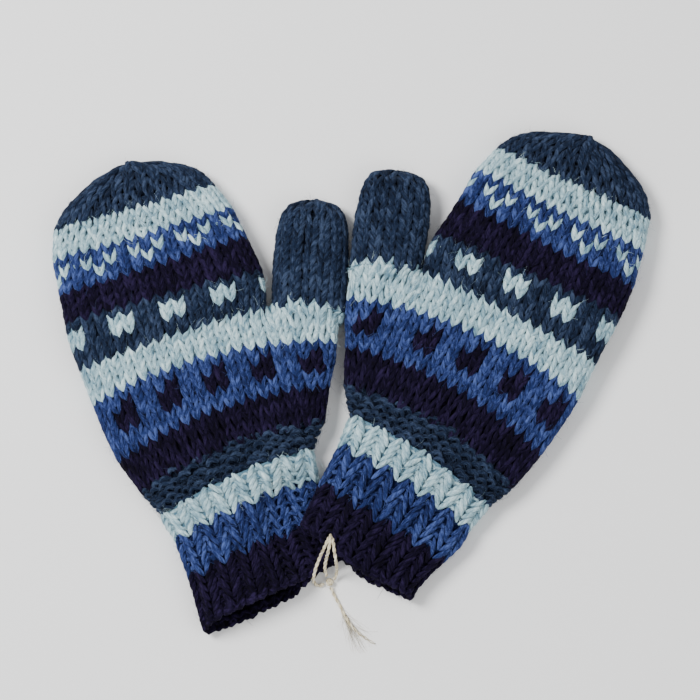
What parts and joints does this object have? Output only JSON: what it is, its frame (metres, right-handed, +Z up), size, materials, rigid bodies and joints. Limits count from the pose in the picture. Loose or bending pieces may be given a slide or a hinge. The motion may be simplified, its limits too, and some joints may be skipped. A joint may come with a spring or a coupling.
{
  "type": "convertible flip-top mittens",
  "caption": "Pair of hand-knitted convertible mittens, striped, with a flap hinged across the back over half-finger stalls, tied at the cuffs with a string",
  "frame": {"origin": "on the table under the middle of the pair, without its tie string", "axes": "+X to the right across the pair, +Y towards the fingertips, +Z up from the table; palms down"},
  "size_m": [0.3348, 0.29, 0.025],
  "materials": {
    "purple_wool": "matt, hairy two-ply wool, dark purple",
    "blue_wool": "matt, hairy two-ply wool, mid blue",
    "pale_blue_wool": "matt, hairy two-ply wool, pale blue",
    "teal_wool": "matt, hairy two-ply wool, dark teal",
    "cotton_string": "matt twisted cotton, cream"
  },
  "bodies": {
    "left_mitten": {"left_cuff": "purple_wool", "left_hand": "blue_wool", "left_thumb": "teal_wool", "left_flap_seam": "teal_wool", "left_stall_little": "blue_wool", "left_stall_ring": "blue_wool", "left_stall_middle": "blue_wool", "left_stall_index": "blue_wool", "tie_strand_middle": "cotton_string", "tie_strand_left": "cotton_string", "tie_strand_right": "cotton_string", "tie_tail": "cotton_string", "tie_knot": "cotton_string"},
    "left_flap": {"left_flap": "pale_blue_wool"},
    "right_mitten": {"right_cuff": "purple_wool", "right_hand": "blue_wool", "right_thumb": "teal_wool", "right_flap_seam": "teal_wool", "right_stall_little": "blue_wool", "right_stall_ring": "blue_wool", "right_stall_middle": "blue_wool", "right_stall_index": "blue_wool"},
    "right_flap": {"right_flap": "pale_blue_wool"}
  },
  "joints": [
    {"name": "left_flap_fold", "type": "hinge", "parent": "left_mitten", "child": "left_flap", "pos_m": [-0.09512, 0.04551, 0.0253], "axis": [0.9659, 0.2588, 0], "range_deg": [0, 175]},
    {"name": "right_flap_fold", "type": "hinge", "parent": "right_mitten", "child": "right_flap", "pos_m": [0.08864, 0.05992, 0.0253], "axis": [0.9135, -0.4067, 0], "range_deg": [0, 175]},
    {"name": "tie_swivel", "type": "hinge", "parent": "left_mitten", "child": "right_mitten", "pos_m": [-0.0117, -0.0912, 0.01], "axis": [0, 0, -1], "range_deg": [0, 12]}
  ]
}
